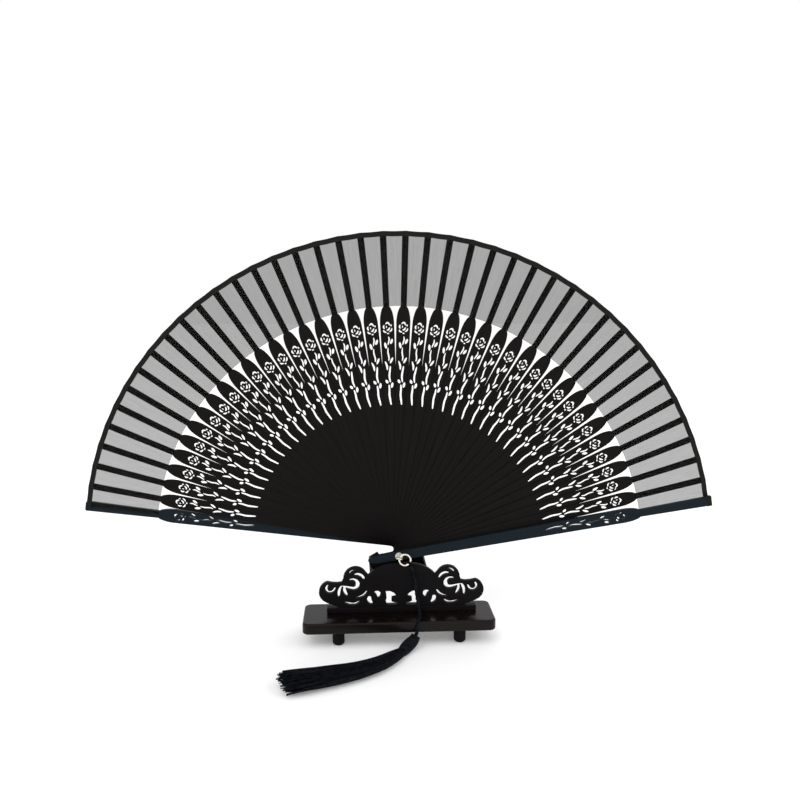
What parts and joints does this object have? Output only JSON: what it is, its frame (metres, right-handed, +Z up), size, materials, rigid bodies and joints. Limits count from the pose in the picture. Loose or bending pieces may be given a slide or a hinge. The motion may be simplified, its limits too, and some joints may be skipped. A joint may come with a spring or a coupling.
{
  "type": "folding fan on a display stand",
  "caption": "Black folding hand fan with pierced floral ribs and a sheer gauze leaf, open on a carved scroll display stand, with a tassel on a ring.",
  "frame": {"origin": "centre of the bounding box of the fan and stand, without the tassel, at the level of the table", "axes": "+Z up, the fan's front faces -Y, +X to the viewer's right"},
  "size_m": [0.3831, 0.1053, 0.2417],
  "materials": {
    "stick_wood": "satin black stain",
    "guard_lacquer": "semi-gloss black lacquer",
    "leaf_gauze": "sheer black gauze",
    "border_ribbon": "matt black ribbon",
    "rivet_metal": "polished",
    "ring_metal": "bright, slightly warm",
    "tassel_thread": "silky black thread",
    "stand_wood": "glossy dark lacquer",
    "dowel_wood": "plain"
  },
  "bodies": {
    "stand": {"stand_base": "stand_wood", "stand_feet": "stand_wood", "stand_plinth": "stand_wood", "stand_panel": "stand_wood", "stand_cradle": "stand_wood", "stand_dowels": "dowel_wood"},
    "fan_core": {"rib_20": "stick_wood", "leaf": "leaf_gauze", "leaf_border": "border_ribbon", "rivet_pin": "rivet_metal", "rivet_cap": "rivet_metal", "rivet_eye": "rivet_metal", "washer_front": "rivet_metal", "washer_rear": "rivet_metal", "tassel_ring": "ring_metal", "tassel_cord": "tassel_thread", "tassel_head": "tassel_thread", "tassel_fringe": "tassel_thread"},
    "rear_guard_stick": {"guard_rear": "guard_lacquer"},
    "stick_01": {"rib_01": "stick_wood"},
    "stick_02": {"rib_02": "stick_wood"},
    "stick_03": {"rib_03": "stick_wood"},
    "stick_04": {"rib_04": "stick_wood"},
    "stick_05": {"rib_05": "stick_wood"},
    "stick_06": {"rib_06": "stick_wood"},
    "stick_07": {"rib_07": "stick_wood"},
    "stick_08": {"rib_08": "stick_wood"},
    "stick_09": {"rib_09": "stick_wood"},
    "stick_10": {"rib_10": "stick_wood"},
    "stick_11": {"rib_11": "stick_wood"},
    "stick_12": {"rib_12": "stick_wood"},
    "stick_13": {"rib_13": "stick_wood"},
    "stick_14": {"rib_14": "stick_wood"},
    "stick_15": {"rib_15": "stick_wood"},
    "stick_16": {"rib_16": "stick_wood"},
    "stick_17": {"rib_17": "stick_wood"},
    "stick_18": {"rib_18": "stick_wood"},
    "stick_19": {"rib_19": "stick_wood"},
    "stick_21": {"rib_21": "stick_wood"},
    "stick_22": {"rib_22": "stick_wood"},
    "stick_23": {"rib_23": "stick_wood"},
    "stick_24": {"rib_24": "stick_wood"},
    "stick_25": {"rib_25": "stick_wood"},
    "stick_26": {"rib_26": "stick_wood"},
    "stick_27": {"rib_27": "stick_wood"},
    "stick_28": {"rib_28": "stick_wood"},
    "stick_29": {"rib_29": "stick_wood"},
    "stick_30": {"rib_30": "stick_wood"},
    "stick_31": {"rib_31": "stick_wood"},
    "stick_32": {"rib_32": "stick_wood"},
    "stick_33": {"rib_33": "stick_wood"},
    "stick_34": {"rib_34": "stick_wood"},
    "stick_35": {"rib_35": "stick_wood"},
    "stick_36": {"rib_36": "stick_wood"},
    "stick_37": {"rib_37": "stick_wood"},
    "stick_38": {"rib_38": "stick_wood"},
    "stick_39": {"rib_39": "stick_wood"},
    "stick_40": {"rib_40": "stick_wood"},
    "front_guard_stick": {"guard_front": "guard_lacquer"}
  },
  "joints": [
    {"name": "lift_off", "type": "slide", "parent": "stand", "child": "fan_core", "axis": [0, 0, 1], "range_m": [0, 0.06]},
    {"name": "fold_21", "type": "hinge", "parent": "fan_core", "child": "stick_21", "pos_m": [0.0005, 0.00855, 0.0489], "axis": [0, -1, 0], "range_deg": [0, 3.97], "deforming": ["leaf", "leaf_border"]},
    {"name": "fold_22", "type": "hinge", "parent": "stick_21", "child": "stick_22", "pos_m": [0.0005, 0.00855, 0.0489], "axis": [0, -1, 0], "range_deg": [0, 3.97]},
    {"name": "fold_23", "type": "hinge", "parent": "stick_22", "child": "stick_23", "pos_m": [0.0005, 0.00855, 0.0489], "axis": [0, -1, 0], "range_deg": [0, 3.97]},
    {"name": "fold_24", "type": "hinge", "parent": "stick_23", "child": "stick_24", "pos_m": [0.0005, 0.00855, 0.0489], "axis": [0, -1, 0], "range_deg": [0, 3.97]},
    {"name": "fold_25", "type": "hinge", "parent": "stick_24", "child": "stick_25", "pos_m": [0.0005, 0.00855, 0.0489], "axis": [0, -1, 0], "range_deg": [0, 3.97]},
    {"name": "fold_26", "type": "hinge", "parent": "stick_25", "child": "stick_26", "pos_m": [0.0005, 0.00855, 0.0489], "axis": [0, -1, 0], "range_deg": [0, 3.97]},
    {"name": "fold_27", "type": "hinge", "parent": "stick_26", "child": "stick_27", "pos_m": [0.0005, 0.00855, 0.0489], "axis": [0, -1, 0], "range_deg": [0, 3.97]},
    {"name": "fold_28", "type": "hinge", "parent": "stick_27", "child": "stick_28", "pos_m": [0.0005, 0.00855, 0.0489], "axis": [0, -1, 0], "range_deg": [0, 3.97]},
    {"name": "fold_29", "type": "hinge", "parent": "stick_28", "child": "stick_29", "pos_m": [0.0005, 0.00855, 0.0489], "axis": [0, -1, 0], "range_deg": [0, 3.97]},
    {"name": "fold_30", "type": "hinge", "parent": "stick_29", "child": "stick_30", "pos_m": [0.0005, 0.00855, 0.0489], "axis": [0, -1, 0], "range_deg": [0, 3.97]},
    {"name": "fold_31", "type": "hinge", "parent": "stick_30", "child": "stick_31", "pos_m": [0.0005, 0.00855, 0.0489], "axis": [0, -1, 0], "range_deg": [0, 3.97]},
    {"name": "fold_32", "type": "hinge", "parent": "stick_31", "child": "stick_32", "pos_m": [0.0005, 0.00855, 0.0489], "axis": [0, -1, 0], "range_deg": [0, 3.97]},
    {"name": "fold_33", "type": "hinge", "parent": "stick_32", "child": "stick_33", "pos_m": [0.0005, 0.00855, 0.0489], "axis": [0, -1, 0], "range_deg": [0, 3.97]},
    {"name": "fold_34", "type": "hinge", "parent": "stick_33", "child": "stick_34", "pos_m": [0.0005, 0.00855, 0.0489], "axis": [0, -1, 0], "range_deg": [0, 3.97]},
    {"name": "fold_35", "type": "hinge", "parent": "stick_34", "child": "stick_35", "pos_m": [0.0005, 0.00855, 0.0489], "axis": [0, -1, 0], "range_deg": [0, 3.97]},
    {"name": "fold_36", "type": "hinge", "parent": "stick_35", "child": "stick_36", "pos_m": [0.0005, 0.00855, 0.0489], "axis": [0, -1, 0], "range_deg": [0, 3.97]},
    {"name": "fold_37", "type": "hinge", "parent": "stick_36", "child": "stick_37", "pos_m": [0.0005, 0.00855, 0.0489], "axis": [0, -1, 0], "range_deg": [0, 3.97]},
    {"name": "fold_38", "type": "hinge", "parent": "stick_37", "child": "stick_38", "pos_m": [0.0005, 0.00855, 0.0489], "axis": [0, -1, 0], "range_deg": [0, 3.97]},
    {"name": "fold_39", "type": "hinge", "parent": "stick_38", "child": "stick_39", "pos_m": [0.0005, 0.00855, 0.0489], "axis": [0, -1, 0], "range_deg": [0, 3.97]},
    {"name": "fold_40", "type": "hinge", "parent": "stick_39", "child": "stick_40", "pos_m": [0.0005, 0.00855, 0.0489], "axis": [0, -1, 0], "range_deg": [0, 3.97]},
    {"name": "fold_41", "type": "hinge", "parent": "stick_40", "child": "front_guard_stick", "pos_m": [0.0005, 0.00855, 0.0489], "axis": [0, -1, 0], "range_deg": [0, 3.97]},
    {"name": "fold_19", "type": "hinge", "parent": "fan_core", "child": "stick_19", "pos_m": [0.0005, 0.00855, 0.0489], "axis": [0, 1, 0], "range_deg": [0, 3.97]},
    {"name": "fold_18", "type": "hinge", "parent": "stick_19", "child": "stick_18", "pos_m": [0.0005, 0.00855, 0.0489], "axis": [0, 1, 0], "range_deg": [0, 3.97]},
    {"name": "fold_17", "type": "hinge", "parent": "stick_18", "child": "stick_17", "pos_m": [0.0005, 0.00855, 0.0489], "axis": [0, 1, 0], "range_deg": [0, 3.97]},
    {"name": "fold_16", "type": "hinge", "parent": "stick_17", "child": "stick_16", "pos_m": [0.0005, 0.00855, 0.0489], "axis": [0, 1, 0], "range_deg": [0, 3.97]},
    {"name": "fold_15", "type": "hinge", "parent": "stick_16", "child": "stick_15", "pos_m": [0.0005, 0.00855, 0.0489], "axis": [0, 1, 0], "range_deg": [0, 3.97]},
    {"name": "fold_14", "type": "hinge", "parent": "stick_15", "child": "stick_14", "pos_m": [0.0005, 0.00855, 0.0489], "axis": [0, 1, 0], "range_deg": [0, 3.97]},
    {"name": "fold_13", "type": "hinge", "parent": "stick_14", "child": "stick_13", "pos_m": [0.0005, 0.00855, 0.0489], "axis": [0, 1, 0], "range_deg": [0, 3.97]},
    {"name": "fold_12", "type": "hinge", "parent": "stick_13", "child": "stick_12", "pos_m": [0.0005, 0.00855, 0.0489], "axis": [0, 1, 0], "range_deg": [0, 3.97]},
    {"name": "fold_11", "type": "hinge", "parent": "stick_12", "child": "stick_11", "pos_m": [0.0005, 0.00855, 0.0489], "axis": [0, 1, 0], "range_deg": [0, 3.97]},
    {"name": "fold_10", "type": "hinge", "parent": "stick_11", "child": "stick_10", "pos_m": [0.0005, 0.00855, 0.0489], "axis": [0, 1, 0], "range_deg": [0, 3.97]},
    {"name": "fold_09", "type": "hinge", "parent": "stick_10", "child": "stick_09", "pos_m": [0.0005, 0.00855, 0.0489], "axis": [0, 1, 0], "range_deg": [0, 3.97]},
    {"name": "fold_08", "type": "hinge", "parent": "stick_09", "child": "stick_08", "pos_m": [0.0005, 0.00855, 0.0489], "axis": [0, 1, 0], "range_deg": [0, 3.97]},
    {"name": "fold_07", "type": "hinge", "parent": "stick_08", "child": "stick_07", "pos_m": [0.0005, 0.00855, 0.0489], "axis": [0, 1, 0], "range_deg": [0, 3.97]},
    {"name": "fold_06", "type": "hinge", "parent": "stick_07", "child": "stick_06", "pos_m": [0.0005, 0.00855, 0.0489], "axis": [0, 1, 0], "range_deg": [0, 3.97]},
    {"name": "fold_05", "type": "hinge", "parent": "stick_06", "child": "stick_05", "pos_m": [0.0005, 0.00855, 0.0489], "axis": [0, 1, 0], "range_deg": [0, 3.97]},
    {"name": "fold_04", "type": "hinge", "parent": "stick_05", "child": "stick_04", "pos_m": [0.0005, 0.00855, 0.0489], "axis": [0, 1, 0], "range_deg": [0, 3.97]},
    {"name": "fold_03", "type": "hinge", "parent": "stick_04", "child": "stick_03", "pos_m": [0.0005, 0.00855, 0.0489], "axis": [0, 1, 0], "range_deg": [0, 3.97]},
    {"name": "fold_02", "type": "hinge", "parent": "stick_03", "child": "stick_02", "pos_m": [0.0005, 0.00855, 0.0489], "axis": [0, 1, 0], "range_deg": [0, 3.97]},
    {"name": "fold_01", "type": "hinge", "parent": "stick_02", "child": "stick_01", "pos_m": [0.0005, 0.00855, 0.0489], "axis": [0, 1, 0], "range_deg": [0, 3.97]},
    {"name": "fold_00", "type": "hinge", "parent": "stick_01", "child": "rear_guard_stick", "pos_m": [0.0005, 0.00855, 0.0489], "axis": [0, 1, 0], "range_deg": [0, 3.97]}
  ],
  "couplings": [
    {"joint": "fold_22", "follows": "fold_21", "ratio": 1},
    {"joint": "fold_23", "follows": "fold_21", "ratio": 1},
    {"joint": "fold_24", "follows": "fold_21", "ratio": 1},
    {"joint": "fold_25", "follows": "fold_21", "ratio": 1},
    {"joint": "fold_26", "follows": "fold_21", "ratio": 1},
    {"joint": "fold_27", "follows": "fold_21", "ratio": 1},
    {"joint": "fold_28", "follows": "fold_21", "ratio": 1},
    {"joint": "fold_29", "follows": "fold_21", "ratio": 1},
    {"joint": "fold_30", "follows": "fold_21", "ratio": 1},
    {"joint": "fold_31", "follows": "fold_21", "ratio": 1},
    {"joint": "fold_32", "follows": "fold_21", "ratio": 1},
    {"joint": "fold_33", "follows": "fold_21", "ratio": 1},
    {"joint": "fold_34", "follows": "fold_21", "ratio": 1},
    {"joint": "fold_35", "follows": "fold_21", "ratio": 1},
    {"joint": "fold_36", "follows": "fold_21", "ratio": 1},
    {"joint": "fold_37", "follows": "fold_21", "ratio": 1},
    {"joint": "fold_38", "follows": "fold_21", "ratio": 1},
    {"joint": "fold_39", "follows": "fold_21", "ratio": 1},
    {"joint": "fold_40", "follows": "fold_21", "ratio": 1},
    {"joint": "fold_41", "follows": "fold_21", "ratio": 1},
    {"joint": "fold_19", "follows": "fold_21", "ratio": 1},
    {"joint": "fold_18", "follows": "fold_21", "ratio": 1},
    {"joint": "fold_17", "follows": "fold_21", "ratio": 1},
    {"joint": "fold_16", "follows": "fold_21", "ratio": 1},
    {"joint": "fold_15", "follows": "fold_21", "ratio": 1},
    {"joint": "fold_14", "follows": "fold_21", "ratio": 1},
    {"joint": "fold_13", "follows": "fold_21", "ratio": 1},
    {"joint": "fold_12", "follows": "fold_21", "ratio": 1},
    {"joint": "fold_11", "follows": "fold_21", "ratio": 1},
    {"joint": "fold_10", "follows": "fold_21", "ratio": 1},
    {"joint": "fold_09", "follows": "fold_21", "ratio": 1},
    {"joint": "fold_08", "follows": "fold_21", "ratio": 1},
    {"joint": "fold_07", "follows": "fold_21", "ratio": 1},
    {"joint": "fold_06", "follows": "fold_21", "ratio": 1},
    {"joint": "fold_05", "follows": "fold_21", "ratio": 1},
    {"joint": "fold_04", "follows": "fold_21", "ratio": 1},
    {"joint": "fold_03", "follows": "fold_21", "ratio": 1},
    {"joint": "fold_02", "follows": "fold_21", "ratio": 1},
    {"joint": "fold_01", "follows": "fold_21", "ratio": 1},
    {"joint": "fold_00", "follows": "fold_21", "ratio": 1}
  ]
}
